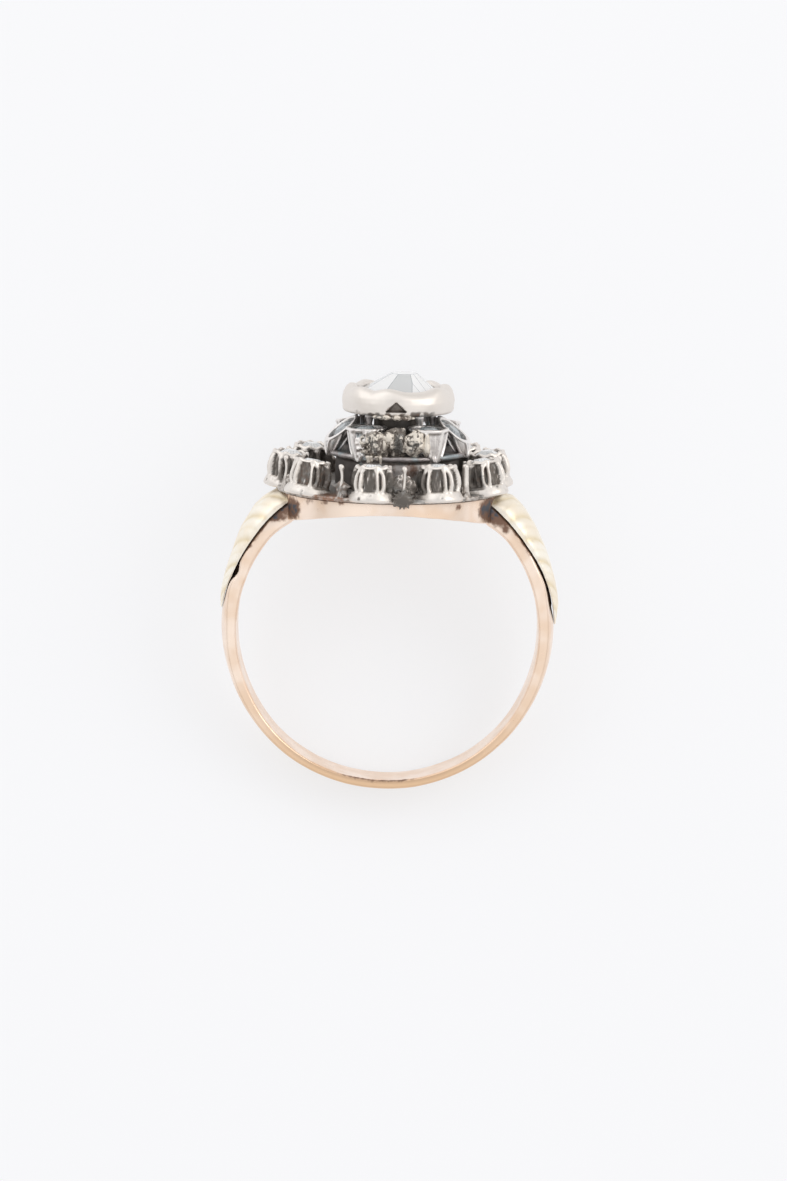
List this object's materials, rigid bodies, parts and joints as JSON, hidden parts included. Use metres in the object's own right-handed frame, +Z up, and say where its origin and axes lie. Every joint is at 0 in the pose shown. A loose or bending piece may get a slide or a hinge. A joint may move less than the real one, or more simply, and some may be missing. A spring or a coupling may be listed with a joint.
{
  "type": "cluster ring",
  "caption": "Worn antique cluster ring: plain gold band, gallery plate, carved shoulder leaves and a tiered silver head of collets set with old cut stones, lying on its side.",
  "frame": {"origin": "on the surface that the ring lies on, under the middle of the ring's bounding box", "axes": "the ring lies on its side: +Y runs from the bottom of the band to the head, +Z is up, towards the ring's best side, and +X is to the right of that side"},
  "size_m": [0.0191, 0.0232, 0.0135],
  "materials": {
    "rose_gold": "worn polish, tarnished at the gallery plate's ends",
    "yellow_gold": "worn polish on carved relief",
    "silver": "worn bright edges over dark recesses",
    "oxidised_silver": "dark, pitted and stained",
    "diamond": "old cut, polished"
  },
  "bodies": {
    "root": {"gold_shank": "rose_gold", "left_shoulder_leaf": "yellow_gold", "right_shoulder_leaf": "yellow_gold", "lower_tier": "silver", "middle_tier": "oxidised_silver", "centre_setting": "silver", "centre_stone": "diamond", "lower_stone_1": "diamond", "lower_stone_2": "diamond", "lower_stone_3": "diamond", "lower_stone_4": "diamond", "lower_stone_5": "diamond", "lower_stone_6": "diamond", "lower_stone_7": "diamond", "lower_stone_8": "diamond", "lower_stone_9": "diamond", "lower_stone_10": "diamond", "middle_stone_1": "diamond", "middle_stone_2": "diamond", "middle_stone_3": "diamond", "middle_stone_4": "diamond", "middle_stone_5": "diamond", "middle_stone_6": "diamond", "middle_stone_7": "diamond"}
  },
  "joints": []
}
